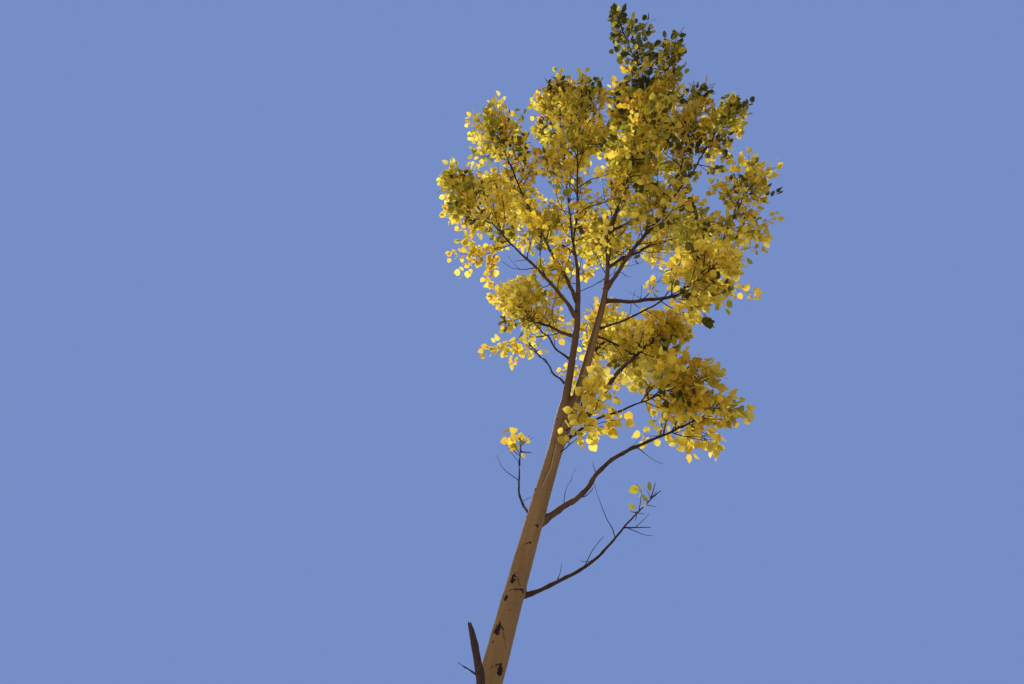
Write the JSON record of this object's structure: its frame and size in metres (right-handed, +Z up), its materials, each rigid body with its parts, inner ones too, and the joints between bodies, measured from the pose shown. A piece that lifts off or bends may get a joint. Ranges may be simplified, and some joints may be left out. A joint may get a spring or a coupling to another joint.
{
  "type": "poplar tree",
  "caption": "Young poplar of a mountain grove in autumn leaf: a pale tapering trunk that forks into upright stems, crooked rising boughs and an airy crown of gold and olive leaves.",
  "frame": {"origin": "centre of the flat cut under the trunk, at ground level", "axes": "+Z up; whoever faces the tree as the picture does looks along +Y, with +X to the right"},
  "size_m": [2.7706, 2.4176, 8.2555],
  "materials": {
    "bark": "smooth pale bark with dark knots and scars",
    "bark_dark": "dull dark twig bark",
    "leaves_yellow": "satin leaf",
    "leaves_gold": "satin leaf",
    "leaves_amber": "satin leaf",
    "leaves_olive": "satin leaf",
    "leaves_moss": "satin leaf"
  },
  "bodies": {
    "root": {"trunk": "bark", "main_stem": "bark", "side_stem": "bark", "broken_stub": "bark_dark", "lowest_right_bough": "bark_dark", "long_right_bough": "bark_dark", "low_left_bough": "bark_dark", "middle_right_bough": "bark_dark", "leafy_right_bough": "bark_dark", "bare_left_bough": "bark_dark", "crooked_left_bough": "bark_dark", "outer_left_bough": "bark_dark", "upper_left_bough": "bark_dark", "outer_right_bough": "bark_dark", "upper_right_bough": "bark_dark", "short_right_bough": "bark_dark", "thin_right_bough": "bark_dark", "forked_right_bough": "bark_dark", "front_top_bough": "bark_dark", "low_back_left_bough": "bark_dark", "low_back_bough": "bark_dark", "upper_back_right_bough": "bark_dark", "upper_back_bough": "bark_dark", "upper_back_left_bough": "bark_dark", "front_left_bough": "bark_dark", "front_bough": "bark_dark", "top_back_bough": "bark_dark", "main_foliage": "leaves_yellow", "side_foliage": "leaves_gold", "lowest_right_foliage": "leaves_amber", "long_right_foliage": "leaves_olive", "low_left_foliage": "leaves_moss", "middle_right_foliage": "leaves_yellow", "leafy_right_foliage": "leaves_gold", "bare_left_foliage": "leaves_amber", "crooked_left_foliage": "leaves_olive", "outer_left_foliage": "leaves_moss", "upper_left_foliage": "leaves_yellow", "outer_right_foliage": "leaves_gold", "upper_right_foliage": "leaves_amber", "short_right_foliage": "leaves_olive", "thin_right_foliage": "leaves_moss", "forked_right_foliage": "leaves_yellow", "front_top_foliage": "leaves_gold", "low_back_left_foliage": "leaves_amber", "low_back_foliage": "leaves_olive", "upper_back_right_foliage": "leaves_moss", "upper_back_foliage": "leaves_yellow", "upper_back_left_foliage": "leaves_gold", "front_left_foliage": "leaves_amber", "front_foliage": "leaves_olive", "top_back_foliage": "leaves_moss", "top_shoot_1_foliage": "leaves_yellow", "top_shoot_2_foliage": "leaves_gold", "top_shoot_3_foliage": "leaves_amber", "top_shoot_4_foliage": "leaves_olive", "top_shoot_5_foliage": "leaves_moss", "top_shoot_6_foliage": "leaves_yellow"}
  },
  "joints": []
}
